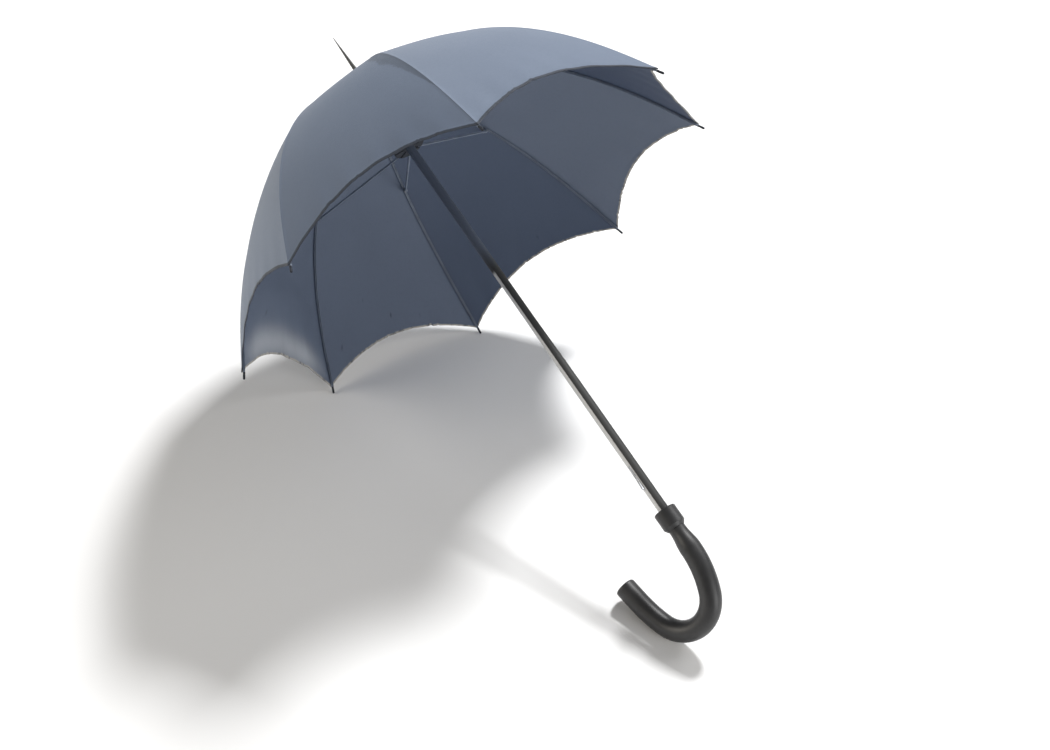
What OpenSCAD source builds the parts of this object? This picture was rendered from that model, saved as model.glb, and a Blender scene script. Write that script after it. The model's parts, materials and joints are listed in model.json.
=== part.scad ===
// Open crook-handled umbrella with eight ribs. Its canopy no longer sits square on its shaft.
// It lies on the floor on two rib tips and on the bend of its crook.

/* [Canopy] */
// Radius of the circle through the corners of the cloth
canopy_r = 350; // [300:1:420]
// Height of the crown above that circle
canopy_h = 280; // [250:1:330]
// How far the hem climbs from a corner to the middle of a panel
hem_rise = 43; // [10:1:60]
// Share of the full round that the cloth keeps between two ribs
belly = 0.46; // [0:0.02:1]
// Angle between the canopy's own axis and the shaft, in degrees
lean = 4; // [0:0.5:5]
// Compass direction in which the canopy is pushed up, in degrees
lean_dir = -58; // [-80:1:-40]
// Thickness of the cloth
cloth_t = 0.6; // [0.4:0.1:1.2]
// Radius of the hole that the cloth leaves round the spike
cloth_hole_r = 8; // [7.5:0.1:9]

/* [Ribs] */
// Width of a rib's channel
rib_w = 3; // [2.8:0.1:4]
// Height of a rib's channel
rib_h = 2.4; // [2:0.1:3.4]
// Wall of a rib's channel
rib_wall = 0.5; // [0.4:0.1:0.6]
// Thickness of the flattened end that turns in the crown
tang_t = 2.2; // [1.8:0.1:2.6]
// Share of the curve at which a stretcher is pinned to a rib
pin_share = 0.37; // [0.34:0.005:0.375]
// Distance from a rib's open edge down to that pin
pin_drop = 4; // [3:0.5:6]
// Diameter of the pins and of the crown's wire
pin_d = 1.6; // [1.2:0.1:2]
// Length of a tip piece beyond the cloth
tip_len = 10; // [6:1:16]
// Diameter of a tip piece
tip_d = 3.2; // [2.6:0.1:3.6]

/* [Stretchers and runner] */
// Thickness of a stretcher
stretcher_t = 2; // [1.6:0.1:2.8]
// Height of a stretcher
stretcher_h = 2.6; // [2.2:0.1:3.4]
// Thickness of each ear of a stretcher's fork
ear_t = 0.7; // [0.5:0.1:1]
// Height of the runner's slots above the circle of the corners
runner_z = 176; // [150:1:190]
// Radius at which the stretchers end in the runner
runner_r = 21; // [20.5:0.5:23]
// Length of the runner's sleeve above its slots
sleeve_len = 24; // [12:1:40]
// Wall of the runner's sleeve
sleeve_wall = 2.4; // [1.6:0.1:3]

/* [Shaft] */
// Diameter of the shaft where the runner slides
shaft_d = 12.4; // [11:0.1:13]
// Diameter of the shaft above the handle
shaft_low_d = 14.2; // [13.5:0.1:16]
// Bore of the shaft's tube
shaft_bore_d = 10; // [8:0.1:10.4]
// Distance from the circle of the corners down to the handle
shaft_low = 431; // [400:1:520]
// Height at which the shaft starts to widen, below the circle of the corners
widen_z = 130; // [115:1:160]
// Length over which it widens
widen_len = 100; // [60:1:120]
// Length of the shaft inside the handle
socket_len = 52; // [40:1:60]
// Height of the spike above the crown
spike_len = 94; // [60:1:110]
// Diameter of the spike at its foot
spike_d = 8.6; // [6:0.1:11]

/* [Handle] */
// Diameter of the crook
grip_d = 28; // [25:0.5:32]
// Diameter of the neck above the crook
neck_d = 22; // [19:0.5:24]
// Diameter of the collar
collar_d = 30; // [26:0.5:34]
// Length of the collar
collar_len = 27; // [20:1:32]
// Length over which the neck swells to the crook's full size
swell_len = 27; // [18:1:40]
// Radius of the crook's slack upper curve, at its middle
upper_r = 125; // [100:5:200]
// Angle through which the crook turns there
upper_turn = 27; // [18:1:32]
// Radius of the crook's tight bend
bend_r = 46; // [38:1:60]
// Angle through which the crook turns there
bend_turn = 130; // [115:1:140]
// Radius of the crook's slack curve after the bend
lower_r = 190; // [100:5:250]
// Angle through which the crook turns there
lower_turn = 13; // [5:1:20]
// Straight length at the crook's free end
return_len = 28; // [10:1:60]
// Compass direction in which the crook points, in degrees
crook_dir = -44; // [-70:1:-40]

/* [Catch] */
// Distance from the collar up to the catch's step
catch_up = 35; // [25:1:45]
// Length of the catch
catch_len = 34; // [26:1:40]
// How far the catch's step stands out of the shaft
catch_rise = 3; // [2:0.1:4]
// Width of the catch
catch_w = 2.8; // [2:0.1:4]
// Compass direction of the catch, in degrees
catch_dir = 30; // [-180:1:180]

/* [Clearances] */
// Gap between a rib's edges and the cloth above them
cloth_gap = 0.25; // [0.2:0.05:0.5]
// Gap between neighbouring panels
seam_gap = 0.3; // [0.2:0.05:0.4]
// Radial clearance of a pin that turns in its hole
turn_fit = 0.1; // [0.08:0.01:0.1]
// Radial clearance of the runner on the shaft
slide_fit = 0.08; // [0.05:0.01:0.1]
// Radial clearance of a piece that is glued or pressed on
seat_fit = 0.03; // [0.02:0.01:0.05]
// Clearance on each side of a piece that turns in a slot
slot_fit = 0.3; // [0.25:0.05:0.4]

/* [Hidden] */

$fn = 64;
eps = 0.01;                              // overlap where a cut leaves a face
rib_count = 8;
rib_step = 360 / rib_count;

// The open rib's curve: a cubic from the crown, level, to the cloth's corner
crown_pull = 0.654;                      // shares of the radius that shape the cubic
hem_pull = 0.166;
hem_angle = 28.5;                        // how far a rib's end still points outwards
curve_steps = 22;                        // straight stretches in a rib
panel_rows = 24;                         // rows of cloth from crown to hem
panel_cols = 10;                         // columns of cloth between two ribs

notch_h = 11;                            // the crown's notch, a slotted ring
notch_top = canopy_h - 3.5;
hinge_r = 13;                            // where the ribs turn in the notch
hinge_z = canopy_h - 9;
root_t = 0.14;                           // where a rib leaves its straight root
eye_r = pin_d / 2 + 1.8;
rib_drop = cloth_gap + rib_w / 2 * tan(rib_step / 2);   // from the cloth to a rib's outer face
notch_r = hinge_r + eye_r + 0.9;
tang_len = 18;                           // length of a rib's flattened end
lug_t = 1.6;                             // the ear under a rib that the pin passes through
lug_r = pin_d / 2 + 1.4;
fork_gap = lug_t + 2 * 0.15;
fork_w = fork_gap + 2 * ear_t;
fork_len = 9;                            // from the pin to the stretcher's own section
end_r = stretcher_h / 2 + 0.3;           // the stretcher's rounded inner end
head_r = pin_d / 2 + 0.7;                // rivet heads
head_h = 0.5;
head_gap = 0.1;
flange_h = 6;                            // the runner's slotted ring
flange_r = runner_r + 2.5;
slot_in_r = shaft_d / 2 + slide_fit + sleeve_wall + 0.7;
shoulder_r = shaft_d / 2;                // the spike's shoulder, flush with the shaft
shoulder_h = 5;
plug_len = 16;
cap_r = 12;
cap_h = 3.2;
cap_base = canopy_h + cloth_t + cap_r * tan(lean) + slot_fit;
tip_r = tip_d / 2;
grip_r = grip_d / 2;
collar_edge = 1.4;                       // rounding of the collar's top edge

// ---------- the umbrella's own frame: Z along the shaft, zero at the circle of the corners ----------

function radial(a) = [cos(a), sin(a), 0];
function rib_dir(k) = -rib_step * (k - 1);
function lift(a) = tan(lean) * cos(a - lean_dir);
function placed(p, a) = p.x * radial(a) + [0, 0, p.y + p.x * lift(a)];
function leant(p, a) = [p.x, p.y + p.x * lift(a)];
function unit(v) = v / norm(v);

arch_points = [
    [0, canopy_h],
    [crown_pull * canopy_r, canopy_h],
    [canopy_r, 0] + hem_pull * canopy_r * [-sin(hem_angle), cos(hem_angle)],
    [canopy_r, 0],
];
function arch(t) = pow(1 - t, 3) * arch_points[0] + 3 * pow(1 - t, 2) * t * arch_points[1]
    + 3 * (1 - t) * t * t * arch_points[2] + pow(t, 3) * arch_points[3];
function arch_dir(t) = unit(
    pow(1 - t, 2) * (arch_points[1] - arch_points[0])
    + 2 * (1 - t) * t * (arch_points[2] - arch_points[1])
    + t * t * (arch_points[3] - arch_points[2]));
function inwards(d) = [d.y, -d.x];

// Length along the curve, for rows of cloth that are evenly spaced
len_steps = 60;
function arch_lens(i = 0, sum = 0) = i > len_steps ? [] : concat(
    [[sum, i / len_steps]],
    arch_lens(i + 1, sum + norm(arch((i + 1) / len_steps) - arch(i / len_steps))));
len_table = arch_lens();
arch_len = len_table[len_steps][0];
function at_len(l) = lookup(l, len_table);

// ---------- flat outlines ----------

function line_dir(line, i) = unit(line[min(i + 1, len(line) - 1)] - line[max(i - 1, 0)]);
function offset_line(line, d) = [for (i = [0:len(line) - 1]) line[i] + d * inwards(line_dir(line, i))];
function backwards(line) = [for (i = [len(line) - 1:-1:0]) line[i]];
// A band along a line, from one distance inwards of it to another
function band(line, d1, d2) = concat(offset_line(line, d1), backwards(offset_line(line, d2)));

rib_mid = rib_drop + rib_h / 2;
function hinge_point() = [hinge_r, hinge_z];
function rib_line(a) = concat(
    [hinge_point()],
    [for (i = [0:curve_steps]) let (t = root_t + (1 - root_t) * i / curve_steps)
        leant(arch(t) + rib_mid * inwards(arch_dir(t)), a)]);
function pin_point(a) =
    leant(arch(pin_share) + (rib_drop + rib_h + pin_drop) * inwards(arch_dir(pin_share)), a);
function runner_point() = [runner_r, runner_z];

// Upright plate in the plane of rib direction a, centred on it
module plate(a, thickness) {
    rotate([0, 0, a]) rotate([90, 0, 0])
        linear_extrude(height = thickness, center = true) children();
}

module disc_at(p, a, r, thickness) {
    rotate([0, 0, a]) translate([p.x, 0, p.y]) rotate([90, 0, 0])
        cylinder(r = r, h = thickness, center = true);
}

// ---------- ribs ----------

module rib(k) {
    a = rib_dir(k);
    line = rib_line(a);
    pin = pin_point(a);
    root = [line[0], line[0] + tang_len * unit(line[1] - line[0])];
    body = concat([line[0] + (tang_len - 4) * unit(line[1] - line[0])],
        [for (i = [1:len(line) - 1]) line[i]]);
    seat = leant(arch(pin_share) + (rib_drop + rib_wall / 2) * inwards(arch_dir(pin_share)), a);
    color("slategray") difference() {
        union() {
            difference() {
                plate(a, rib_w) polygon(band(body, -rib_h / 2, rib_h / 2));
                plate(a, rib_w - 2 * rib_wall) polygon(band(body, rib_wall - rib_h / 2, rib_h));
            }
            plate(a, tang_t) {
                polygon(band(root, 0.2 - rib_h / 2, rib_h / 2 - 0.2));
                translate(line[0]) circle(r = eye_r);
            }
            plate(a, lug_t) {
                polygon(band([seat, pin], 0.3 - lug_r, lug_r - 0.3));
                translate(pin) circle(r = lug_r);
            }
        }
        disc_at(line[0], a, pin_d / 2 + turn_fit, 2 * rib_w);
        disc_at(pin, a, pin_d / 2 + seat_fit, 2 * rib_w);
    }
}

module rivet(k) {
    a = rib_dir(k);
    span = fork_w + 2 * head_gap;
    color("silver") rotate([0, 0, a]) translate([pin_point(a).x, 0, pin_point(a).y]) rotate([90, 0, 0]) {
        cylinder(r = pin_d / 2, h = span + head_h, center = true);
        for (side = [-1, 1]) translate([0, 0, side * (span + head_h) / 2])
            cylinder(r = head_r, h = head_h, center = true);
    }
}

// The tip piece carries on in the direction of the rib's end
module tip(k) {
    a = rib_dir(k);
    line = rib_line(a);
    end = line[len(line) - 1];
    d = tip_dir(a);
    color("lightslategray") rotate([0, 0, a]) translate([end.x, 0, end.y])
        rotate([0, atan2(d.x, d.y), 0])
            rotate_extrude() polygon(concat(
                [[0, seat_fit], [tip_r, seat_fit], [tip_r, tip_len - tip_r]],
                [for (b = [10:10:80]) [tip_r * cos(b), tip_len - tip_r + tip_r * sin(b)]],
                [[0, tip_len]]));
}
function tip_dir(a) = unit(leant(arch_dir(1), a));
function tip_ball(a) = let (line = rib_line(a)) line[len(line) - 1] + (tip_len - tip_r) * tip_dir(a);

// ---------- stretchers and runner ----------

module stretcher(k) {
    a = rib_dir(k);
    pin = pin_point(a);
    end = runner_point();
    d = unit(end - pin);
    color("gray") difference() {
        union() {
            plate(a, stretcher_t) {
                polygon(band([pin + (fork_len - 1) * d, end], -stretcher_h / 2, stretcher_h / 2));
                translate(end) circle(r = end_r);
            }
            plate(a, fork_w) {
                polygon(band([pin, pin + fork_len * d], -stretcher_h / 2 - 0.2, stretcher_h / 2 + 0.2));
                translate(pin) circle(r = lug_r);
            }
        }
        plate(a, fork_gap)
            polygon(band([pin - 2 * lug_r * d, pin + (fork_len - 4) * d], -2 * lug_r, 2 * lug_r));
        disc_at(pin, a, pin_d / 2 + turn_fit, 2 * fork_w);
    }
}

module runner() {
    bore_r = shaft_d / 2 + slide_fit;
    sleeve_r = bore_r + sleeve_wall;
    color("dimgray") difference() {
        rotate_extrude() polygon([
            [bore_r, runner_z - flange_h / 2], [flange_r - 1, runner_z - flange_h / 2],
            [flange_r, runner_z - flange_h / 2 + 1], [flange_r, runner_z + flange_h / 2 - 1],
            [flange_r - 1, runner_z + flange_h / 2], [sleeve_r, runner_z + flange_h / 2],
            [sleeve_r, runner_z + sleeve_len - 4], [sleeve_r + 1, runner_z + sleeve_len - 3],
            [sleeve_r + 1, runner_z + sleeve_len - 0.6], [sleeve_r + 0.4, runner_z + sleeve_len],
            [bore_r, runner_z + sleeve_len],
        ]);
        for (k = [1:rib_count]) rotate([0, 0, rib_dir(k)])
            translate([slot_in_r, -stretcher_t / 2 - slot_fit, runner_z - flange_h])
                cube([flange_r, stretcher_t + 2 * slot_fit, 2 * flange_h]);
    }
}

// ---------- crown ----------

module crown_notch() {
    color("dimgray") difference() {
        translate([0, 0, notch_top - notch_h]) cylinder(r = notch_r, h = notch_h);
        translate([0, 0, notch_top - notch_h - 1])
            cylinder(r = shaft_d / 2 + seat_fit, h = notch_h + 2);
        rotate_extrude() translate(hinge_point()) circle(r = pin_d / 2 + seat_fit);
        for (k = [1:rib_count]) rotate([0, 0, rib_dir(k)])
            translate([hinge_r - eye_r - slot_fit, -tang_t / 2 - slot_fit, notch_top - notch_h - 1])
                cube([notch_r, tang_t + 2 * slot_fit, hinge_z + eye_r + 1 - notch_top + notch_h + 1]);
    }
}

module crown_wire() {
    color("silver") rotate_extrude() translate(hinge_point()) circle(r = pin_d / 2);
}

module crown_cap() {
    color("dimgray") rotate_extrude() polygon([
        [shoulder_r + seat_fit, cap_base], [cap_r, cap_base], [cap_r, cap_base + 0.8],
        [cap_r - 2, cap_base + cap_h * 0.6], [cap_r - 4, cap_base + cap_h],
        [shoulder_r + seat_fit, cap_base + cap_h],
    ]);
}

spike_base = cap_base + cap_h - shoulder_h;
module spike() {
    foot = spike_base + shoulder_h;
    color("darkslategray") rotate_extrude() polygon([
        [0, spike_base - plug_len], [shaft_bore_d / 2 - seat_fit, spike_base - plug_len],
        [shaft_bore_d / 2 - seat_fit, spike_base], [shoulder_r, spike_base],
        [shoulder_r, foot - 0.5], [spike_d / 2, foot], [0.4, foot + spike_len - 0.4],
        [0, foot + spike_len],
    ]);
}

// ---------- shaft and catch ----------

catch_top = -shaft_low + catch_up + catch_len;     // the catch's root, towards the crown
catch_step = -shaft_low + catch_up;                // its step, towards the handle
low_r = shaft_low_d / 2;

module shaft() {
    bottom = -shaft_low - socket_len;
    color("dimgray") difference() {
        rotate_extrude() polygon([
            [shaft_bore_d / 2, bottom], [low_r, bottom], [low_r, -widen_z - widen_len],
            [shaft_d / 2, -widen_z], [shaft_d / 2, spike_base], [shaft_bore_d / 2, spike_base],
        ]);
        rotate([0, 0, catch_dir]) translate([0, -catch_w / 2 - slot_fit, catch_step - slot_fit])
            cube([shaft_low_d, catch_w + 2 * slot_fit, catch_len + 2 * slot_fit]);
    }
}

// A leaf that turns about its rounded root and rises to a step, which is pressed in
leaf_t = 1.2;
module catch() {
    root = [low_r - 1, catch_top - leaf_t / 2];
    inner = shaft_bore_d / 2 + 0.3;
    color("silver") rotate([0, 0, catch_dir]) rotate([90, 0, 0])
        linear_extrude(height = catch_w, center = true) {
            translate(root) circle(r = leaf_t / 2);
            polygon([
                [low_r + catch_rise - leaf_t - 0.8, catch_step + leaf_t + 0.6],
                [inner, catch_step + leaf_t], [inner, catch_step], [low_r + catch_rise - 0.3, catch_step],
                [low_r + catch_rise, catch_step + 0.8], [low_r + catch_rise - 0.5, catch_step + 1.5],
                root + [leaf_t / 2 - 0.1, 0.1], root + [0.1 - leaf_t / 2, 0.1],
            ]);
        }
}

// ---------- handle ----------

module collar() {
    r = collar_d / 2;
    color("black") rotate_extrude() polygon([
        [low_r + seat_fit, -shaft_low - collar_len], [neck_d / 2 + 0.8, -shaft_low - collar_len],
        [r, -shaft_low - collar_len + 4.5], [r, -shaft_low - collar_edge],
        [r - 0.4 * collar_edge, -shaft_low - 0.4 * collar_edge], [r - collar_edge, -shaft_low],
        [low_r + seat_fit, -shaft_low],
    ]);
}

// The crook is a swelling neck, three arcs and a straight end. Headings are in degrees from
// straight down, and a place in the crook's plane is [outwards, up, heading].
neck_top = -shaft_low - collar_len;
crook_top = neck_top - 3 - swell_len;
crook_arcs = [[upper_r, upper_turn], [bend_r, bend_turn], [lower_r, lower_turn]];
function along_arc(p, r, turn) =
    [p[0] + r * (cos(p[2]) - cos(p[2] + turn)), p[1] + r * (sin(p[2]) - sin(p[2] + turn)), p[2] + turn];
function arc_start(i) = i == 0 ? [0, crook_top, 0]
    : along_arc(arc_start(i - 1), crook_arcs[i - 1][0], crook_arcs[i - 1][1]);

module handle() {
    end = arc_start(len(crook_arcs));
    lap = 0.4;             // each stretch starts this far inside the one before
    lap_step = 0.02;       // and is this much thinner in radius, so that the two never share a face
    end_r = grip_r - (len(crook_arcs) + 1) * lap_step;
    color("black") rotate([0, 0, crook_dir]) difference() {
        union() {
            rotate_extrude() polygon(concat(
                [[0, crook_top - lap], [grip_r, crook_top - lap]],
                [for (i = [0:8]) let (f = i / 8, s = f * f * (3 - 2 * f))
                    [grip_r + (neck_d / 2 - grip_r) * s, crook_top + f * swell_len]],
                [[neck_d / 2, neck_top], [0, neck_top]]));
            for (i = [0:len(crook_arcs) - 1])
                let (p = arc_start(i), r = crook_arcs[i][0], back = i == 0 ? 0 : lap / r * 180 / PI)
                    translate([p[0] + r * cos(p[2]), 0, p[1] + r * sin(p[2])])
                        rotate([90, 0, 0]) rotate([0, 0, 180 + p[2] - back])
                            rotate_extrude(angle = crook_arcs[i][1] + back)
                                translate([r, 0]) circle(r = grip_r - (i + 1) * lap_step);
            translate([end[0], 0, end[1]]) rotate([0, 180 - end[2], 0]) translate([0, 0, -lap])
                rotate_extrude() polygon(concat(
                    [[0, 0], [end_r, 0]],
                    [for (b = [0:15:90]) [end_r - 3 + 3 * cos(b), return_len - 3 + 3 * sin(b)]],
                    [[0, return_len]]));
        }
        translate([0, 0, -shaft_low - socket_len - seat_fit])
            cylinder(r = low_r + seat_fit, h = socket_len);
    }
}

// ---------- cloth ----------

// A point of the panel from rib k to the next: v runs from 0 to 1 between them, l is the length
// along the curve. The section between two ribs lies between a flat chord and the full round.
function panel_point(k, v, l, out) =
    let (
        a1 = rib_dir(k), a2 = rib_dir(k + 1), a = a1 + v * (a2 - a1), t = at_len(l),
        p = arch(t) - out * inwards(arch_dir(t)),
        in1 = [sin(a1), -cos(a1), 0] * seam_gap / 2, in2 = [-sin(a2), cos(a2), 0] * seam_gap / 2,
        flat = (1 - v) * (placed(p, a1) + in1) + v * (placed(p, a2) + in2),
        full = placed(p, a) + (1 - v) * in1 + v * in2
    ) (1 - belly) * flat + belly * full;

function panel_grid(k, out) = [for (i = [0:panel_rows]) for (j = [0:panel_cols])
    let (v = j / panel_cols, low = arch_len - hem_rise * 4 * v * (1 - v))
        panel_point(k, v, cloth_hole_r + (low - cloth_hole_r) * i / panel_rows, out)];

module panel(k) {
    w = panel_cols + 1;
    n = w * (panel_rows + 1);
    quads = [for (i = [0:panel_rows - 1]) for (j = [0:panel_cols - 1])
        [i * w + j, i * w + j + 1, (i + 1) * w + j + 1, (i + 1) * w + j]];
    rim = concat([for (j = [0:panel_cols]) j], [for (i = [1:panel_rows]) i * w + panel_cols],
        [for (j = [panel_cols - 1:-1:0]) panel_rows * w + j], [for (i = [panel_rows - 1:-1:1]) i * w]);
    outer = [for (q = quads) for (s = [[q[0], q[1], q[2]], [q[0], q[2], q[3]]]) s];
    inner = [for (s = outer) [s[2] + n, s[1] + n, s[0] + n]];
    edge = [for (i = [0:len(rim) - 1]) let (p = rim[i], q = rim[(i + 1) % len(rim)])
        for (s = [[q, p, p + n], [q, p + n, q + n]]) s];
    color("lightsteelblue")
        polyhedron(points = concat(panel_grid(k, cloth_t), panel_grid(k, 0)),
            faces = concat(outer, inner, edge));
}

// ---------- how it lies ----------

// It rests on the tips of ribs 2 and 3 and on the crook. The floor's upward direction leans
// by rest_angle from level, in the plane across the line through the two tips.
function crook_place(p) = p[0] * radial(crook_dir) + [0, 0, p[1]];
crook_end = arc_start(len(crook_arcs));
crook_points = concat(
    [for (i = [0:len(crook_arcs) - 1]) for (t = [0:crook_arcs[i][1]])
        crook_place(along_arc(arc_start(i), crook_arcs[i][0], t))],
    [crook_place([crook_end[0] + return_len * sin(crook_end[2]),
        crook_end[1] - return_len * cos(crook_end[2])])]);
tip_centres = [for (k = [1:rib_count]) placed_flat(tip_ball(rib_dir(k)), rib_dir(k))];
function placed_flat(p, a) = p.x * radial(a) + [0, 0, p.y];

tips_line = unit(tip_centres[2] - tip_centres[1]);
level_in = unit(cross([0, 0, 1], tips_line));
inward = level_in * (level_in * tip_centres[1] > 0 ? -1 : 1);
above = cross(inward, tips_line) * (cross(inward, tips_line).z > 0 ? 1 : -1);
function up_at(g) = cos(g) * inward + sin(g) * above;
function crook_over(g) = let (u = up_at(g))
    min([for (p = crook_points) p * u]) - grip_r - (tip_centres[1] * u - tip_r);
function rest_search(lo, hi, n) = let (mid = (lo + hi) / 2)
    n == 0 ? mid : crook_over(mid) > 0 ? rest_search(mid, hi, n - 1) : rest_search(lo, mid, n - 1);
up = up_at(rest_search(0, 60, 24));
ahead = unit([0, 0, 1] - up.z * up);               // along the floor, from handle to crown
across = cross(up, ahead);

// The middle of the space it takes up is put over the origin
spread_points = concat(
    [for (k = [1:rib_count]) for (p = panel_grid(k, cloth_t)) [p, 0]],
    [for (c = tip_centres) [c, tip_r]],
    [for (p = crook_points) [p, grip_r]],
    [[[0, 0, spike_base + shoulder_h + spike_len], 0]]);
function reach(d) = max([for (p = spread_points) p[0] * d + p[1]]);
shift = [
    (reach(ahead) - reach(-ahead)) / 2,
    (reach(across) - reach(-across)) / 2,
    tip_centres[1] * up - tip_r,
];

module lie() {
    multmatrix([
        [ahead.x, ahead.y, ahead.z, -shift.x],
        [across.x, across.y, across.z, -shift.y],
        [up.x, up.y, up.z, -shift.z],
        [0, 0, 0, 1],
    ]) children();
}

lie() shaft();
lie() spike();
lie() crown_cap();
lie() crown_notch();
lie() crown_wire();
lie() runner();
lie() collar();
lie() handle();
lie() catch();
for (k = [1:rib_count]) {
    lie() rib(k);
    lie() rivet(k);
    lie() tip(k);
    lie() stretcher(k);
    lie() panel(k);
}
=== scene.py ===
"""Open crook-handled umbrella, worn, its canopy out of square to its shaft.

It lies on two rib tips and its crook."""
import json
import math

import bpy
import numpy as np
from mathutils import Matrix, Vector


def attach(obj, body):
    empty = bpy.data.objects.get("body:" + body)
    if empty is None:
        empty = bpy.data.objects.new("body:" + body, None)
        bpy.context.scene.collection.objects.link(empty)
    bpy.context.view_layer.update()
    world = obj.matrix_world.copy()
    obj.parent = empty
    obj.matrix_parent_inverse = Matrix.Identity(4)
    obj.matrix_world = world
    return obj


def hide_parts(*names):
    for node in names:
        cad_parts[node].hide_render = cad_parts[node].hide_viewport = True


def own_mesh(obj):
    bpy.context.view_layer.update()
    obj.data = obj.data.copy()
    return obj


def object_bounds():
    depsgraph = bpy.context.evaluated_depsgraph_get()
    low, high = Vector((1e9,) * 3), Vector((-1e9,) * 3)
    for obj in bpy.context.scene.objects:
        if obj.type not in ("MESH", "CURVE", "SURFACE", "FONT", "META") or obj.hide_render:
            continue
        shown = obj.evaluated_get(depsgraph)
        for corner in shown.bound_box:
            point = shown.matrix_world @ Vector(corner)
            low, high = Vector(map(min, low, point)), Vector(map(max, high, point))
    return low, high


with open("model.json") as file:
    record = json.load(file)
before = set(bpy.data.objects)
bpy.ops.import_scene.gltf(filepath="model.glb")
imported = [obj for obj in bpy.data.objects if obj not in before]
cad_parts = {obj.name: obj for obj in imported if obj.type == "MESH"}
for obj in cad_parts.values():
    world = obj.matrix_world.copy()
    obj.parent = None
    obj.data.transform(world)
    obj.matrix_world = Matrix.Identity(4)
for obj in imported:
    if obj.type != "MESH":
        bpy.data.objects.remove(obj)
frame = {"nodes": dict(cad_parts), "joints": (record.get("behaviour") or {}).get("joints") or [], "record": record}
cad_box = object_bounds()

# ---------- sizes, in metres, as the model has them ----------

RADIUS = 0.350            # circle through the cloth's corners
CROWN = 0.280             # crown above that circle
HEM_RISE = 0.043
BELLY = 0.46
LEAN = math.radians(4)
LEAN_DIR = math.radians(-58)
CROWN_PULL, HEM_PULL, HEM_ANGLE = 0.654, 0.166, math.radians(28.5)
HOLE = 0.008
CLOTH = 0.0006            # thickness of the cloth
SEAM_GAP = 0.00004
HINGE_R, HINGE_Z = 0.013, CROWN - 0.009
RIB_W, RIB_H, RIB_WALL = 0.003, 0.0024, 0.0005
RIB_GAP = 0.00025 + RIB_W / 2 * math.tan(math.pi / 8)
ROOT_T = 0.14
PIN_SHARE, PIN_DROP = 0.37, 0.004
TIP_LEN, TIP_R = 0.010, 0.0016
SHAFT_LOW = -0.431
COLLAR_LEN = 0.027
GRIP_R, NECK_R, SWELL = 0.014, 0.011, 0.027
CROOK_ARCS = [(0.125, 27), (0.046, 130), (0.190, 13)]     # radius, and degrees turned
RETURN = 0.028
CROOK_DIR = math.radians(-44)
RIBS = 8


def unit(v):
    """Vectors of length one along the last axis."""
    v = np.asarray(v, float)
    return v / np.linalg.norm(v, axis=-1, keepdims=True)


# ---------- the umbrella's own frame: Z along the shaft, zero at the circle of the corners ----------

joints = {j["name"]: j for j in frame["joints"]}
hinges = np.array([joints[f"rib_{k}_hinge"]["pos_m"] for k in range(1, RIBS + 1)])
AXIS = -unit(joints["runner_slide"]["axis"])
ORIGIN = hinges.mean(0) - HINGE_Z * AXIS
EAST = unit(hinges[0] - hinges.mean(0))
NORTH = np.cross(AXIS, EAST)


def to_row(points):
    """Points of the umbrella's own frame, put in the row frame."""
    p = np.asarray(points, float)
    return ORIGIN + p[..., :1] * EAST + p[..., 1:2] * NORTH + p[..., 2:] * AXIS


def dir_to_row(v):
    """A direction of the umbrella's own frame, in the row frame."""
    return v[0] * EAST + v[1] * NORTH + v[2] * AXIS


def rib_angle(k):
    """Compass direction of rib k, from 1 to 8, going round with the sun."""
    return -2 * math.pi / RIBS * (k - 1)


ARCH = np.array([
    [0, CROWN],
    [CROWN_PULL * RADIUS, CROWN],
    [RADIUS - HEM_PULL * RADIUS * math.sin(HEM_ANGLE), HEM_PULL * RADIUS * math.cos(HEM_ANGLE)],
    [RADIUS, 0],
])


def arch(t):
    """Cubic curve from the crown to the cloth's corner: radius and height."""
    t = np.asarray(t, float)[..., None]
    return ((1 - t) ** 3 * ARCH[0] + 3 * (1 - t) ** 2 * t * ARCH[1]
            + 3 * (1 - t) * t ** 2 * ARCH[2] + t ** 3 * ARCH[3])


def arch_dir(t):
    """Direction of that curve, towards the hem."""
    t = np.asarray(t, float)[..., None]
    return unit((1 - t) ** 2 * (ARCH[1] - ARCH[0]) + 2 * (1 - t) * t * (ARCH[2] - ARCH[1])
                + t ** 2 * (ARCH[3] - ARCH[2]))


def inwards(d):
    """The direction square to d, towards the shaft and the handle."""
    return np.stack([d[..., 1], -d[..., 0]], -1)


steps = np.linspace(0, 1, 241)
lengths = np.concatenate([[0], np.cumsum(np.linalg.norm(np.diff(arch(steps), axis=0), axis=1))])
ARCH_LEN = lengths[-1]


def lift(a):
    """How much the lean raises a point per metre of radius, at compass direction a."""
    return math.tan(LEAN) * np.cos(a - LEAN_DIR)


def leant(p, a):
    """A radius and height in rib direction a, raised by the lean."""
    return np.stack([p[..., 0], p[..., 1] + p[..., 0] * lift(a)], -1)


def in_plane(p, a):
    """A radius and height in rib direction a, as a point of the umbrella's frame."""
    return np.stack([p[..., 0] * np.cos(a), p[..., 0] * np.sin(a), p[..., 1]], -1)


def rib_point(t, a, drop):
    """Point of a rib at share t of the curve, drop metres inside the cloth."""
    return leant(arch(t) + drop * inwards(arch_dir(t)), a)


# ---------- shader expressions ----------

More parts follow.
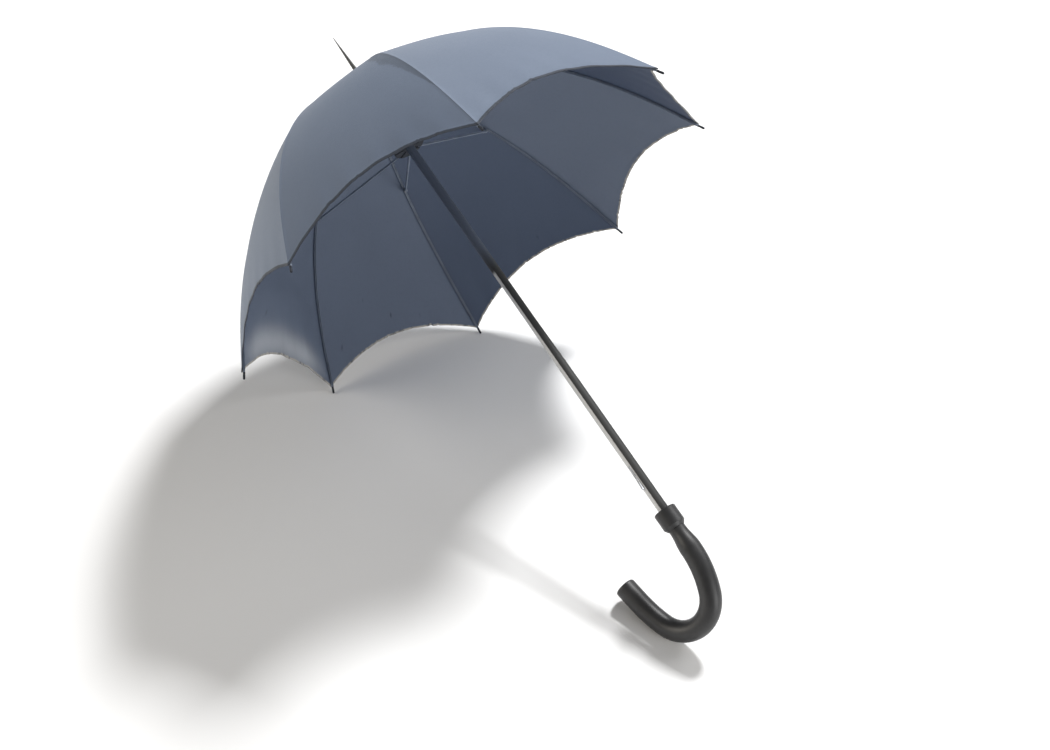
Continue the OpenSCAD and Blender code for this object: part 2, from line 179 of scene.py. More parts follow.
class Link:
    """A shader socket. Arithmetic on it adds the Math nodes that work it out."""

    def __init__(self, finish, socket):
        self.finish, self.socket = finish, socket

    def math(self, operation, *terms):
        return self.finish.node("ShaderNodeMath", {"operation": operation}, dict(enumerate(terms)))

    def __add__(self, other):
        return self.math("ADD", self, other)

    def __mul__(self, other):
        return self.math("MULTIPLY", self, other)

    def __sub__(self, other):
        return self.math("SUBTRACT", self, other)

    def __rsub__(self, other):
        return self.math("SUBTRACT", other, self)

    __radd__, __rmul__ = __add__, __mul__

    def sine(self):
        return self.math("SINE", self)

    def ramp(self, low, high, to_low=0.0, to_high=1.0):
        """Smooth step from to_low at low to to_high at high."""
        settings = {"interpolation_type": "SMOOTHSTEP", "clamp": True}
        sockets = {0: self, 1: low, 2: high, 3: to_low, 4: to_high}
        return self.finish.node("ShaderNodeMapRange", settings, sockets)


class Finish:
    """One material: a Principled shader, and the nodes that feed it."""

    def __init__(self, name, **constants):
        self.material = bpy.data.materials.new(name)
        self.material.use_nodes = True
        self.tree = self.material.node_tree
        self.shader = self.tree.nodes["Principled BSDF"]
        for label, value in constants.items():
            self.shader.inputs[label.replace("_", " ")].default_value = value

    def node(self, kind, settings=None, sockets=None, output=0):
        """Adds a node: its settings first, then values or links for its sockets."""
        node = self.tree.nodes.new(kind)
        for label, value in (settings or {}).items():
            setattr(node, label, value)
        for label, value in (sockets or {}).items():
            if isinstance(value, Link):
                self.tree.links.new(value.socket, node.inputs[label])
            else:
                node.inputs[label].default_value = value
        return Link(self, node.outputs[output])

    def place(self):
        """Object coordinates."""
        return self.node("ShaderNodeTexCoord", output=3)

    def uv(self):
        return self.node("ShaderNodeTexCoord", output=2)

    def attribute(self, name):
        return self.node("ShaderNodeAttribute", {"attribute_name": name}, output=2)

    def scaled(self, where, scale):
        """Coordinates multiplied by a number for each axis."""
        return self.node("ShaderNodeMapping", {"vector_type": "POINT"}, {"Vector": where, "Scale": scale})

    def noise(self, where, scale, detail=3.0, roughness=0.55, distortion=0.0):
        sockets = {"Vector": where, "Scale": scale, "Detail": detail,
                   "Roughness": roughness, "Distortion": distortion}
        return self.node("ShaderNodeTexNoise", {}, sockets)

    def along(self, where, direction):
        """How far a place lies from the umbrella's origin in a direction, in metres."""
        settings = {"operation": "DOT_PRODUCT"}
        direction = tuple(float(x) for x in direction)
        dot = self.node("ShaderNodeVectorMath", settings, {0: where, 1: direction}, 1)
        return dot - float(np.dot(ORIGIN, direction))

    def split(self, vector):
        """The parts of a vector."""
        node = self.tree.nodes.new("ShaderNodeSeparateXYZ")
        self.tree.links.new(vector.socket, node.inputs[0])
        return [Link(self, o) for o in node.outputs]

    def mix(self, factor, first, second):
        """Colour first where factor is 0 and second where it is 1."""
        settings = {"data_type": "RGBA", "clamp_factor": True}
        node = self.node("ShaderNodeMix", settings, output=2).socket.node
        for index, value in ((0, factor), (6, first), (7, second)):
            if isinstance(value, Link):
                self.tree.links.new(value.socket, node.inputs[index])
            else:
                node.inputs[index].default_value = value if index == 0 else (*value, 1)
        return Link(self, node.outputs[2])

    def bump(self, height, distance, strength=1.0):
        """Feeds Normal with relief of that height, in metres."""
        sockets = {"Height": height, "Distance": distance, "Strength": strength}
        self.feed(Normal=self.node("ShaderNodeBump", {}, sockets))

    def feed(self, **links):
        for label, link in links.items():
            self.tree.links.new(link.socket, self.shader.inputs[label.replace("_", " ")])


def shade(*rgb):
    """A colour from 0 to 255 as the eye sees it, as the linear numbers that a shader takes."""
    c = np.array(rgb) / 255
    return tuple(float(x) for x in np.where(c <= 0.04045, c / 12.92, ((c + 0.055) / 1.055) ** 2.4))


def cloth_finish():
    """Plain-woven umbrella cloth: a folded hem with a dark band of painted shade along its edge, outside and
    inside where the hem isn't pale and frayed; stains; a darker ragged wedge beside one seam; a painted sheen
    highlight near one panel's hem; a darker inner face as painted shade; painted light and shade for each panel."""
    f = Finish("canopy_cloth", Sheen_Weight=0.04, Sheen_Roughness=0.5, Specular_IOR_Level=0.3)
    where, inner, hem = f.uv(), f.attribute("inner"), f.attribute("hem")
    stain, fade, soil = f.attribute("stain"), f.attribute("fade"), f.attribute("soil")
    tone, bleached = f.attribute("tone"), f.attribute("bleached")
    across, along, _ = f.split(where)
    broad = f.noise(f.place(), 7.0, 3.0, 0.5)
    fine = f.noise(f.place(), 220.0, 3.0, 0.7)
    outside = f.mix(broad.ramp(0.3, 0.7), shade(107, 119, 138), shade(112, 124, 143))
    # The inner face takes a darker, bluer copy of the outer colour, as painted shade.
    inside = f.mix(broad.ramp(0.3, 0.7), shade(94, 105, 124), shade(98, 109, 128))
    colour = f.mix(inner, outside, inside)
    # Each panel painted paler or deeper: painted light and shade.
    colour = f.mix(tone, colour, shade(172, 180, 194))
    colour = f.mix(tone * -1.0, colour, shade(40, 56, 84))
    colour = f.mix(fine.ramp(0.45, 0.85) * 0.08, colour, shade(60, 66, 78))
    # Painted sheen highlight: a pale band near panel 1's hem, strong inside and faint outside.
    colour = f.mix(fade * (broad * 0.6 + 0.7), colour, shade(190, 194, 200))
    # A darker ragged wedge beside seam 7, near the crown, on the outer face only.
    ragged = f.noise(f.scaled(where, (160.0, 60.0, 1.0)), 1.0, 3.0, 0.6)
    colour = f.mix((soil + ragged * 0.9 - 0.45).ramp(0.25, 0.6) * 0.4, colour, shade(52, 57, 64))
    frayed = f.noise(f.scaled(where, (420.0, 90.0, 1.0)), 1.0, 2.0, 0.6)
    # Painted shade of the folded hem: a dark band along its edge, outside, and inside where the hem isn't pale.
    hem_shade = hem.ramp(0.0044, 0.0034)
    colour = f.mix(hem_shade * (1 - inner * bleached) * (frayed * 0.3 + 0.7), colour, shade(38, 42, 50))
    pale = hem.ramp(0.0034, 0.0022) * inner * bleached * frayed.ramp(0.36, 0.50)
    colour = f.mix(pale * 0.9, colour, shade(190, 184, 174))
    dashes = hem.ramp(0.0040, 0.0026) * inner * frayed.ramp(0.45, 0.38)
    colour = f.mix(dashes * 0.85, colour, shade(36, 37, 40))
    colour = f.mix(stain, colour, shade(44, 50, 60))
    f.feed(Base_Color=colour)
    warp = (across * (2 * math.pi / 0.00055)).sine()
    weft = (along * (2 * math.pi / 0.00055)).sine()
    f.feed(Roughness=broad * 0.1 + 0.5 + fine * 0.08)
    f.bump(warp * weft * 0.3 + fine * 0.3, 0.00012)
    return f.material


def steel_finish(name, tint, tarnish_tint, rough, metal=1.0):
    """Steel that mirrors its surroundings softly, with tarnish in blotches and fine scratches."""
    f = Finish(name, Metallic=metal)
    where = f.place()
    blotch = f.noise(where, 38.0, 5.0, 0.65)
    grit = f.noise(where, 900.0, 2.0, 0.6)
    f.feed(Base_Color=f.mix(blotch.ramp(0.35, 0.7), tint, tarnish_tint),
           Roughness=grit * 0.08 + rough + blotch * 0.06)
    f.bump(grit * 0.6 + blotch, 0.00002)
    return f.material


STRIP_DIR = math.radians(-10.7)     # compass direction of the painted strip on the shaft
STRIP_EDGE, STRIP_TOP = 0.0024, -0.048


def shaft_finish():
    """Dark grey lacquer with a pale strip painted down one side, below the hem. The strip stands for a
    reflection of the floor, and the bluer tint above it for the canopy's shade. Neither is wear, and
    neither follows the lamps. The strip's side and top suit one view of the umbrella: it covers what
    lies further from the shaft's axis than a set distance in one direction."""
    f = Finish("shaft_steel", Specular_IOR_Level=0.22)
    where = f.place()
    strip_side = dir_to_row((math.cos(STRIP_DIR), math.sin(STRIP_DIR), 0))
    aside = f.along(where, strip_side)
    height = f.along(where, AXIS)
    grain = f.noise(where, 260.0, 3.0, 0.6)
    strip = (aside + grain * 0.0006 - 0.0003).ramp(STRIP_EDGE, STRIP_EDGE + 0.0006)
    strip = strip * height.ramp(STRIP_TOP + 0.004, STRIP_TOP - 0.004)
    line = (aside * 5200.0).sine().ramp(0.6, 0.95)
    pale = f.mix(line * 0.5, shade(206, 206, 206), shade(236, 236, 236))
    lacquer = f.mix(height.ramp(-0.05, 0.0), shade(66, 66, 66), shade(92, 100, 114))
    f.feed(Base_Color=f.mix(strip, lacquer, pale),
           Roughness=grain * 0.1 + 0.5, Metallic=strip * 0.3)
    f.bump(grain, 0.00001)
    return f.material


def bright_finish():
    """Plain bright steel, lightly tarnished."""
    f = Finish("bright_steel", Roughness=0.32, Metallic=1.0)
    where = f.place()
    tarnish = f.noise(where, 120.0, 4.0, 0.6)
    f.feed(Base_Color=f.mix(tarnish.ramp(0.4, 0.75), shade(196, 198, 202), shade(122, 116, 106)),
           Roughness=tarnish * 0.3 + 0.2)
    f.bump(tarnish, 0.00003)
    return f.material


def handle_finish():
    """Moulded black plastic: a soft gloss with fine grain and hand wear."""
    f = Finish("handle_black", Specular_IOR_Level=0.5, Coat_Weight=0.08, Coat_Roughness=0.4)
    where = f.place()
    wear = f.noise(where, 26.0, 5.0, 0.6)
    grain = f.noise(where, 1400.0, 2.0, 0.5)
    f.feed(Base_Color=f.mix(wear.ramp(0.35, 0.75), shade(40, 40, 41), shade(50, 50, 51)),
           Roughness=wear * 0.12 + 0.36 + grain * 0.05)
    f.bump(grain, 0.00005)
    return f.material


def moulded_finish():
    """Matte black moulded plastic of the runner and the crown."""
    f = Finish("fitting_black", Specular_IOR_Level=0.25)
    grain = f.noise(f.place(), 700.0, 3.0, 0.6)
    f.feed(Base_Color=f.mix(grain.ramp(0.3, 0.8), shade(36, 40, 48), shade(44, 49, 58)),
           Roughness=grain * 0.1 + 0.55)
    f.bump(grain, 0.00003)
    return f.material


finishes = {
    "canopy_cloth": cloth_finish(),
    "rib_steel": steel_finish("rib_steel", shade(124, 134, 150), shade(108, 117, 133), 0.48, 0.12),
    "shaft_steel": shaft_finish(),
    "spike_steel": steel_finish("spike_steel", shade(66, 66, 66), shade(54, 54, 53), 0.42, 0.2),
    "bright_steel": bright_finish(),
    "handle_black": handle_finish(),
    "fitting_black": moulded_finish(),
}

# ---------- meshes from arrays ----------


def piece(name, points, faces, slot, body, nodes=(), uv=None, **values):
    """A mesh object from points of the umbrella's frame, with the faces turned outwards as given."""
    mesh = bpy.data.meshes.new(name)
    mesh.from_pydata(to_row(points).tolist(), [], faces)
    mesh.polygons.foreach_set("use_smooth", np.ones(len(mesh.polygons), bool))
    mesh.set_sharp_from_angle(angle=math.radians(38))
    if uv is not None:
        corner = np.zeros(len(mesh.loops), np.int32)
        mesh.loops.foreach_get("vertex_index", corner)
        mesh.uv_layers.new(name="cloth").data.foreach_set("uv", uv[corner].astype(np.float32).ravel())
    for label, value in values.items():
        mesh.attributes.new(label, "FLOAT", "POINT").data.foreach_set("value", value.astype(np.float32))
    mesh.materials.append(finishes[slot])
    mesh.update()
    obj = bpy.data.objects.new(name, mesh)
    bpy.context.scene.collection.objects.link(obj)
    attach(obj, body)
    if nodes:
        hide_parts(*nodes)
    return obj


def quads(rows, cols, start=0, closed=False):
    """Faces of a grid of points stored row by row; closed joins the last column to the first."""
    i, j = np.meshgrid(np.arange(rows - 1), np.arange(cols if closed else cols - 1), indexing="ij")
    a, b = i * cols + j, i * cols + (j + 1) % cols
    return (np.stack([a, b, b + cols, a + cols], -1).reshape(-1, 4) + start).tolist()


def turned(profile, around=48):
    """Points and faces of a profile of radii and heights turned about Z. Both ends are on the axis or
    the profile is a closed loop."""
    profile = np.asarray(profile, float)
    angle = np.arange(around) * 2 * math.pi / around
    on_axis = profile[0, 0] == 0
    ring = profile[1:-1] if on_axis else profile
    grid = np.stack([ring[:, :1] * np.cos(angle), ring[:, :1] * np.sin(angle),
                     np.repeat(ring[:, 1:], around, 1)], -1)
    points = grid.reshape(-1, 3)
    faces = [f[::-1] for f in quads(len(ring), around, closed=True)]
    n = len(points)
    if on_axis:
        points = np.vstack([points, [0, 0, profile[0, 1]], [0, 0, profile[-1, 1]]])
        last = n - around
        faces += [[n, j, (j + 1) % around] for j in range(around)]
        faces += [[n + 1, last + (j + 1) % around, last + j] for j in range(around)]
    else:
        last = n - around
        faces += [[j, last + j, last + (j + 1) % around, (j + 1) % around][::-1] for j in range(around)]
    return points, faces


def swept(path, side, up, profile):
    """A closed profile of (side, up) offsets carried along a path, with flat ends.
    profile is one loop, or one loop for each station; side and up are unit vectors for each station."""
    profile = np.broadcast_to(profile, (len(path),) + np.shape(profile)[-2:])
    grid = (path[:, None] + profile[..., :1] * side[:, None] + profile[..., 1:] * up[:, None])
    stations, loop = grid.shape[:2]
    faces = quads(stations, loop, closed=True)
    faces += [list(range(loop))[::-1], list(range((stations - 1) * loop, stations * loop))]
    return grid.reshape(-1, 3), faces


def outward(points, faces):
    """The faces, turned over if the closed shape they make is inside out."""
    p = np.asarray(points)
    volume = sum(float(np.dot(p[f[0]], np.cross(p[f[i]], p[f[i + 1]])))
                 for f in faces for i in range(1, len(f) - 1))
    return faces if volume > 0 else [f[::-1] for f in faces]


def joined(*parts):
    """Several closed shapes as one list of points and faces."""
    points, faces, n = [], [], 0
    for p, f in parts:
        points.append(p)
        faces += [[i + n for i in face] for face in outward(p, f)]
        n += len(p)
    return np.vstack(points), faces


# ---------- cloth ----------

HALF_COLS, HALF_ROWS, HEM_ROWS = 64, 84, 12
HEM_BAND = 0.0065         # width of the folded hem


def waves(a, b, seed, count=7):
    """Gentle sum of sines over two coordinates, from -1 to 1."""
    random = np.random.default_rng(seed)
    total = np.zeros(np.broadcast(a, b).shape)
    for _ in range(count):
        fa, fb, phase = random.uniform(-1, 1), random.uniform(-1, 1), random.uniform(0, 6.28)
        total += np.sin(a * fa + b * fb + phase)
    return total / count


def hem_cut(k, v, span):
    """How far the hem is frayed and nicked away, in metres, at share v across panel k."""
    random = np.random.default_rng(40 + k)
    x = v * span
    cut = 0.00035 * (1 + waves(x * 2400, 0 * x, 60 + k, 5)) + 0.0004 * (1 + waves(x * 700, 0 * x, 80 + k, 5))
    for _ in range(9):
        centre, half = random.uniform(0.06, 0.94) * span, random.uniform(0.001, 0.0025)
        depth = random.uniform(0.0008, 0.0024)
        cut += depth * np.clip(1 - np.abs(x - centre) / half, 0, 1)
    return cut * np.clip(np.minimum(v, 1 - v) / 0.03, 0, 1)


def relief(k, v, length, low):
    """How far the cloth stands out from its even shape, in metres: slack ripples towards the hem,
    tight folds that fan out from the corners, and the wrinkled panel and the puckered seam."""
    down = length / low
    edge = np.minimum(v, 1 - v)
    out = 0.0005 * waves(v * 9, down * 7, 5 + k) * np.clip(edge / 0.1, 0, 1)
    out += 0.0004 * np.sin(v * 40 + 3 * down) * np.exp(-((1 - down) / 0.10) ** 2) * np.clip(edge / 0.06, 0, 1)
    if k == 1:
        near = np.exp(-((1 - down) / 0.16) ** 2) * np.clip(edge / 0.12, 0, 1)
        out += near * (0.0016 * np.sin(v * 19 + 2.0 * down) + 0.0005 * np.sin(v * 47 + 5))
        out -= 0.005 * np.exp(-((down - 0.80) / 0.07) ** 2) * np.sin(math.pi * v)
    if k in (6, 7):
        seam = (1 - v) if k == 6 else v
        pucker = np.exp(-(seam / 0.09) ** 2) * np.exp(-((down - 0.28) / 0.12) ** 2)
        out += 0.0012 * pucker * np.sin(length * 620)
    return out


def panel_surface(k, v, length, out):
    """Panel k from rib k to the next. v runs from 0 to 1 between them and length along the curve;
    the section lies between the flat chord and the full round, out metres off the inner face."""
    a1, a2 = rib_angle(k), rib_angle(k + 1)
    t = np.interp(length, lengths, steps)
    p = arch(t) - out[..., None] * inwards(arch_dir(t))
    in1 = np.array([math.sin(a1), -math.cos(a1), 0]) * SEAM_GAP
    in2 = np.array([-math.sin(a2), math.cos(a2), 0]) * SEAM_GAP
    v = v[..., None]

    def placed(a):
        return np.stack([p[..., 0] * np.cos(a), p[..., 0] * np.sin(a), p[..., 1] + p[..., 0] * lift(a)], -1)

    flat = (1 - v) * (placed(a1) + in1) + v * (placed(a2) + in2)
    full = placed(a1 + v[..., 0] * (a2 - a1)) + (1 - v) * in1 + v * in2
    return (1 - BELLY) * flat + BELLY * full


# How much paler (above 0) or deeper (below 0) each panel is painted: outside at the crown, outside at
# the hem, and inside. It makes up for light and shade that the lamps leave out, and isn't known to be
# fading of the cloth
PAINTED_SHADING = [
    (0, 0, 0), (0, 0, 0), (0, 0, -0.38), (0, 0, 0.10),
    (0, 0, -0.72), (0.42, -0.02, 0), (0.26, -0.24, 0), (0.24, 0.06, 0),
]
BLEACHED_HEMS = (1, 2, 3, 4, 5)

# Stains inside, near the hem: panel, share across, share down and radius in metres
STAINS = [
    (2, 0.30, 0.90, 0.0018), (2, 0.52, 0.93, 0.0015), (2, 0.20, 0.95, 0.0018), (2, 0.70, 0.955, 0.0014),
    (2, 0.36, 0.84, 0.0015), (2, 0.13, 0.93, 0.0016), (1, 0.35, 0.86, 0.0020), (3, 0.62, 0.94, 0.0015),
]


def cloth_half(k, half):
    """Half of panel k, from a rib to the panel's middle: an outer and an inner sheet with a folded hem."""
    across = np.linspace(0, 1, HALF_COLS) ** 1.15 * 0.5
    v = across if half == 0 else 1 - across[::-1]
    span = 2 * RADIUS * math.sin(math.pi / RIBS)
    low = ARCH_LEN - HEM_RISE * 4 * v * (1 - v) - hem_cut(k, v, span)
    body_rows = np.linspace(0, 1, HALF_ROWS)[:-1, None]
    hem_rows = np.linspace(0, 1, HEM_ROWS)[:, None]
    turn = low - 1.6 * HEM_BAND
    length = np.vstack([HOLE + (turn - HOLE) * body_rows, turn + (low - turn) * hem_rows])
    vv = np.broadcast_to(v, length.shape)
    to_hem = low - length
    hem_fold = np.clip((HEM_BAND - to_hem) / 0.0006 + 0.5, 0, 1)
    stitch = np.exp(-((to_hem - HEM_BAND + 0.0012) / 0.0005) ** 2)
    edge = np.minimum(vv, 1 - vv) * span * np.clip(length / ARCH_LEN, 0.05, 1)
    seam = np.exp(-(edge / 0.0016) ** 2)
    body = relief(k, vv, length, low) * np.clip(edge / 0.004, 0, 1)
    swell = 0.00035 * hem_fold - 0.00018 * stitch
    outer = panel_surface(k, vv, length, body + CLOTH + swell + 0.0006 * seam)
    inner = panel_surface(k, vv, length, body - 0.6 * swell * np.clip(edge / 0.004, 0, 1))
    rows, cols = length.shape
    points = np.vstack([outer.reshape(-1, 3), inner.reshape(-1, 3)])
    n = rows * cols
    top = quads(rows, cols)
    under = [[i + n for i in face[::-1]] for face in top]
    rim = np.concatenate([np.arange(cols), np.arange(1, rows) * cols + cols - 1,
                          (rows - 1) * cols + np.arange(cols - 2, -1, -1), np.arange(rows - 2, 0, -1) * cols])
    nxt = np.roll(rim, -1)
    faces = top + under + np.stack([nxt, rim, rim + n, nxt + n], -1).tolist()
    faces = outward(points, faces)
    tangent = (vv - (0 if half == 0 else 1)) * span * length / ARCH_LEN
    uv = np.stack([tangent, length], -1).reshape(-1, 2)
    stain = np.zeros_like(length)
    for panel, sv, sd, radius in STAINS:
        if panel == k:
            apart = np.hypot((vv - sv) * span * sd, length - sd * low)
            stain = np.maximum(stain, np.clip(1.6 - 1.6 * apart / radius, 0, 1))
    # Painted sheen highlight: a pale band near panel 1's hem.
    fade = np.zeros_like(length)
    if k == 1:
        fade = 0.75 * np.exp(-((to_hem - 0.018) / 0.022) ** 2) * np.clip(np.minimum(vv, 1 - vv) / 0.2, 0, 1)
    # A darker ragged wedge beside seam 7, near the crown.
    soil = np.zeros_like(length)
    if k == 7:
        reach = 0.014 * np.clip((0.38 - length) / 0.14, 0, 1) * np.clip((length - 0.08) / 0.1, 0, 1)
        soil = np.clip(1.4 - vv * span * length / ARCH_LEN / np.maximum(reach, 0.0004), 0, 1)
    flat_list = [np.concatenate([x.ravel(), x.ravel()]) for x in (to_hem, np.clip(stain, 0, 1), fade, soil)]
    stains = flat_list[1] * np.repeat([0.15, 0.7], n)
    fades = flat_list[2] * np.repeat([0.2, 1.0], n)
    soils = flat_list[3] * np.repeat([1.0, 0.0], n)
    # Painted light and shade for this panel: paler or deeper outside, from crown to hem, and inside.
    crown_tone, hem_tone, inside_tone = PAINTED_SHADING[k - 1]
    outside_tone = crown_tone + (hem_tone - crown_tone) * (length / low)
    tone = np.concatenate([outside_tone.ravel(), np.full(n, float(inside_tone))])
    rib = k if half == 0 else k % RIBS + 1
    obj = piece(f"panel_{k}_{'ab'[half]}", points, faces, "canopy_cloth", f"rib_{rib}", [f"panel_{k}"],
                uv=np.vstack([uv, uv]), hem=flat_list[0], stain=stains, fade=fades, soil=soils,
                inner=np.repeat([0.0, 1.0], n), tone=tone, bleached=np.full(2 * n, float(k in BLEACHED_HEMS)))
    mid = panel_surface(k, vv, length, body)
    a = rib_angle(rib)
    dir_to_row((-math.sin(a), math.cos(a), 0))
    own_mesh(obj)
    return obj


# ---------- ribs and tips ----------

def rib_channel(k):
    """Rib k: a U-shaped channel carried along the rib's curve, open towards the shaft, with the
    flattened root that turns in the crown and the lug that holds the stretcher's pin."""
    a = rib_angle(k)
    t = np.linspace(ROOT_T, 1, 110)
    line = rib_point(t, a, RIB_GAP + RIB_H / 2)
    hinge = np.array([HINGE_R, HINGE_Z])
    straight = hinge + (line[0] - hinge) * np.linspace(0.22, 1, 14)[:-1, None]
    line = np.vstack([straight, line])
    along = unit(np.gradient(line, axis=0))
    down = inwards(along)
    e_side = np.array([-math.sin(a), math.cos(a), 0])
    side = np.broadcast_to(e_side, (len(line), 3))
    w, h, wall, soft = RIB_W / 2, RIB_H / 2, RIB_WALL, 0.0003
    loop = np.array([
        (-w, -h + soft), (-w + soft, -h), (w - soft, -h), (w, -h + soft), (w, h), (w - wall, h),
        (w - wall, wall - h + soft), (w - wall - soft, wall - h), (wall - w + soft, wall - h),
        (wall - w, wall - h + soft), (wall - w, h), (-w, h),
    ])
    channel = swept(in_plane(line, a), side, in_plane(down, a), loop)
    tang_line = hinge + (line[6] - hinge) * np.linspace(0, 1, 6)[:, None]
    tdir = unit(line[6] - hinge)
    tang = swept(in_plane(tang_line, a), side[:6],
                 in_plane(np.broadcast_to(inwards(tdir), (6, 2)), a),
                 np.array([(-0.0011, -0.001), (0.0011, -0.001), (0.0011, 0.001), (-0.0011, 0.001)]))
    eye = disc(in_plane(hinge, a), e_side, 0.0026, 0.0022, hole=0.0009)
    pin = rib_point(PIN_SHARE, a, RIB_GAP + RIB_H + PIN_DROP)
    seat = rib_point(PIN_SHARE, a, RIB_GAP + RIB_WALL)
    lug_line = np.linspace(seat, pin, 5)
    ldir = unit(pin - seat)
    lug = swept(in_plane(lug_line, a), side[:5],
                in_plane(np.broadcast_to(inwards(ldir), (5, 2)), a),
                np.array([(-0.0008, -0.0019), (0.0008, -0.0019), (0.0008, 0.0019), (-0.0008, 0.0019)]))
    ear = disc(in_plane(pin, a), e_side, 0.0022, 0.0016, hole=0.0008)
    points, faces = joined(channel, tang, eye, lug, ear)
    return piece(f"rib_{k}_channel", points, faces, "rib_steel", f"rib_{k}", [f"rib_{k}"])


def disc(centre, normal, radius, thickness, hole=0.0, around=28):
    """A ring of square section about an axis through centre."""
    n = unit(normal)
    u = unit(np.cross(n, [0.3, 0.5, 0.8]))
    w = np.cross(n, u)
    angle = np.arange(around) * 2 * math.pi / around
    ring = np.cos(angle)[:, None] * u + np.sin(angle)[:, None] * w
    half = thickness / 2
    loops = [ring * hole - n * half, ring * radius - n * half,
             ring * radius + n * half, ring * hole + n * half]
    points = centre + np.vstack(loops)
    faces = quads(4, around, closed=True)
    faces += [[3 * around + j, 3 * around + (j + 1) % around, (j + 1) % around, j] for j in range(around)]
    return points, faces


def rib_tip(k):
    """Tip piece of rib k: a small rod along the rib's end with a rounded nose and a crimped collar."""
    a = rib_angle(k)
    end = rib_point(1.0, a, RIB_GAP + RIB_H / 2)
    d = unit(leant(arch_dir(1.0), a))
    r = TIP_R
    nose = [(r * math.cos(b), TIP_LEN - r + r * math.sin(b)) for b in np.linspace(0, math.pi / 2, 8)[:-1]]
    profile = [(0, 0.00005), (r * 0.9, 0.00005), (r, 0.0004), (r, 0.0016), (r * 0.86, 0.0020),
               (r * 0.86, 0.0028), (r, 0.0032)] + nose + [(0, TIP_LEN)]
    points, faces = turned(profile, 24)
    z = in_plane(d, a)
    x = unit(np.cross([-math.sin(a), math.cos(a), 0], z))
    y = np.cross(z, x)
    points = in_plane(end, a) + points[:, :1] * x + points[:, 1:2] * y + points[:, 2:] * z
    return piece(f"rib_{k}_tip", points, outward(points, faces), "fitting_black", f"rib_{k}", [f"tip_{k}"])


# ---------- handle ----------

def crook():
    """The handle: a round section carried down the neck, round three arcs that meet without a kink
    and along a straight end. Its radius swells from the neck with a smooth step; the free end is
    rounded over."""
    top = SHAFT_LOW - COLLAR_LEN
    x, z, heading = 0.0, top - 0.003 - SWELL, 0.0
    line = [np.stack([np.zeros(30), np.linspace(top, z, 30)], -1)[:-1]]
    for radius, degrees in CROOK_ARCS:
        turn = heading + np.radians(np.linspace(0, degrees, 12 + degrees // 2))
        line.append(np.stack([x + radius * (math.cos(heading) - np.cos(turn)),
                              z + radius * (math.sin(heading) - np.sin(turn))], -1)[:-1])
        x += radius * (math.cos(heading) - math.cos(turn[-1]))
        z += radius * (math.sin(heading) - math.sin(turn[-1]))
        heading = turn[-1]
    to_end = RETURN * (1 - np.linspace(1, 0, 40) ** 2)
    line.append(np.stack([x + to_end * math.sin(heading), z - to_end * math.cos(heading)], -1))
    path = in_plane(np.vstack(line), CROOK_DIR)
    side = np.array([-math.sin(CROOK_DIR), math.cos(CROOK_DIR), 0])
    along = unit(np.gradient(path, axis=0))
    dist = np.concatenate([[0], np.cumsum(np.linalg.norm(np.diff(path, axis=0), axis=1))])
    left = dist[-1] - dist
    swell = np.clip((dist - 0.003) / SWELL, 0, 1)
    radius = NECK_R + (GRIP_R - NECK_R) * swell ** 2 * (3 - 2 * swell)
    round_over = 0.003
    radius = np.where(left < round_over, radius - round_over
                      + np.sqrt(np.clip(round_over ** 2 - (round_over - left) ** 2, 0, None)), radius)
    angle = np.arange(56) * 2 * math.pi / 56
    loop = radius[:, None, None] * np.stack([np.cos(angle), np.sin(angle)], -1)
    points, faces = swept(path, np.broadcast_to(side, path.shape), np.cross(side, along), loop)
    return piece("crook_handle", points, outward(points, faces), "handle_black", "shaft", ["handle"])


# ---------- everything in place ----------

for k in range(1, RIBS + 1):
    rib_channel(k)
    rib_tip(k)
for k in range(1, RIBS + 1):
    for half in (0, 1):
        cloth_half(k, half)
crook()

record_slots = {s["node"]: s["material_slot"] for s in frame["record"]["subparts"]}
for name, node in frame["nodes"].items():
    node.data.materials.clear()
    node.data.materials.append(finishes[record_slots[name]])
    node.data.polygons.foreach_set("use_smooth", np.ones(len(node.data.polygons), bool))
    weld = node.modifiers.new("weld", "WELD")
    weld.merge_threshold = 0.000002
    split = node.modifiers.new("edges", "EDGE_SPLIT")
    split.split_angle = math.radians(32)

# ---------- floor, light and camera ----------

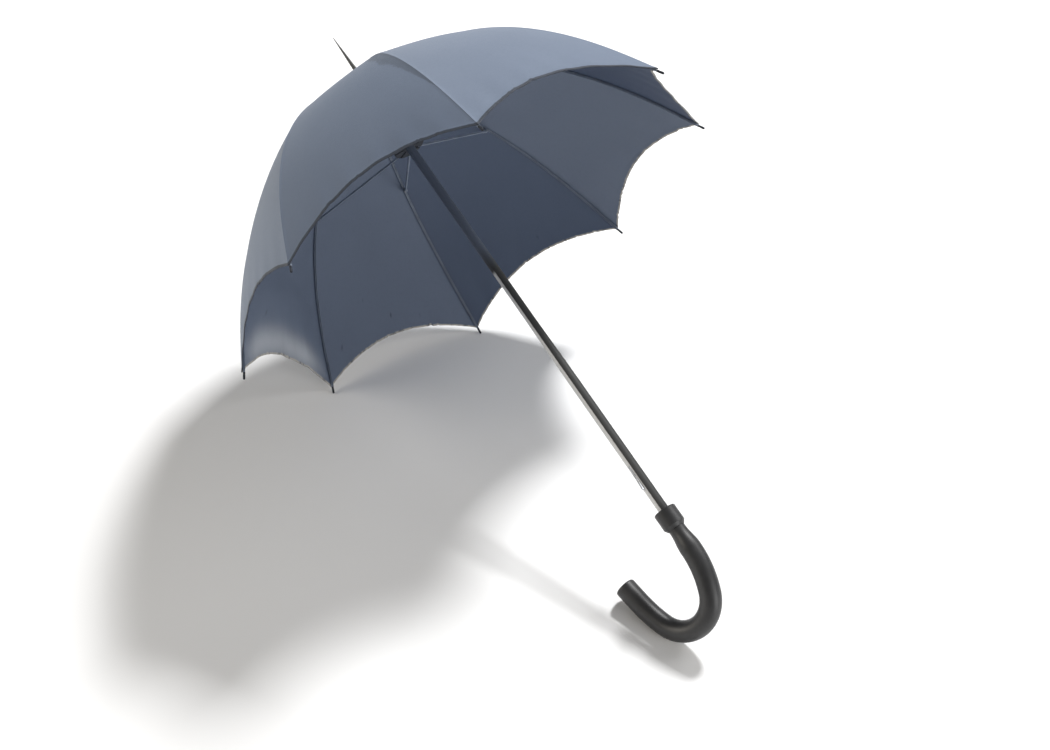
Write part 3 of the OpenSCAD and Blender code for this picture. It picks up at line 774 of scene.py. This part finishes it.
floor_mesh = bpy.data.meshes.new("floor")
floor_mesh.from_pydata([(-40, -40, 0), (40, -40, 0), (40, 40, 0), (-40, 40, 0)], [], [(0, 1, 2, 3)])
floor = bpy.data.objects.new("floor", floor_mesh)
bpy.context.scene.collection.objects.link(floor)
floor_paint = Finish("floor_paint", Base_Color=(0.93, 0.93, 0.93, 1), Roughness=0.9, Specular_IOR_Level=0.1)
floor_mesh.materials.append(floor_paint.material)

# The view, in the umbrella's own frame
VIEW_FROM = (0.3802062, 1.72578414, -0.69483857)
VIEW_RIGHT = np.array([-0.83809469, 0.00120331, -0.54552346])
VIEW_DOWN = np.array([0.51435096, -0.33145852, -0.79093511])
VIEW_AHEAD = np.array([-0.18177014, -0.94346903, 0.2771747])
camera = bpy.data.objects.new("camera", bpy.data.cameras.new("camera"))
bpy.context.scene.collection.objects.link(camera)
camera.data.sensor_width, camera.data.lens = 36, 48.854
columns = [dir_to_row(VIEW_RIGHT), -dir_to_row(VIEW_DOWN), -dir_to_row(VIEW_AHEAD)]
turn = Matrix([[float(c[i]) for c in columns] for i in range(3)]).to_4x4()
camera.matrix_world = Matrix.Translation(Vector(to_row(VIEW_FROM))) @ turn
bpy.context.scene.camera = camera


def lamp(name, towards, distance, size, power, tint=(1, 1, 1)):
    """A square soft light. towards is its direction from the object in the view's own right, up and
    back directions."""
    d = unit(towards[0] * columns[0] + towards[1] * columns[1] + towards[2] * columns[2])
    middle = Vector(((cad_box[0] + cad_box[1]) / 2))
    light = bpy.data.objects.new(name, bpy.data.lights.new(name, "AREA"))
    light.data.size, light.data.energy, light.data.color = size, power, tint
    bpy.context.scene.collection.objects.link(light)
    light.location = middle + Vector(d) * distance
    light.rotation_mode = "QUATERNION"
    light.rotation_quaternion = Vector(d).to_track_quat("Z", "Y")


lamp("key", (0.38, 1.0, 0.16), 4.0, 0.6, 176)
lamp("upper_right", (1.0, 0.8, 0.3), 4.0, 2.0, 42)
lamp("left", (-1.0, 0.2, 0.4), 4.0, 2.0, 72, (1.0, 0.94, 0.84))
lamp("lower_right", (0.8, -0.3, 0.6), 4.0, 2.0, 62)

world = bpy.data.worlds.new("studio")
bpy.context.scene.world = world
world.use_nodes = True
world.node_tree.nodes["Background"].inputs["Color"].default_value = (1, 1, 1, 1)
world.node_tree.nodes["Background"].inputs["Strength"].default_value = 0.13
bpy.context.scene.view_settings.view_transform = "Standard"
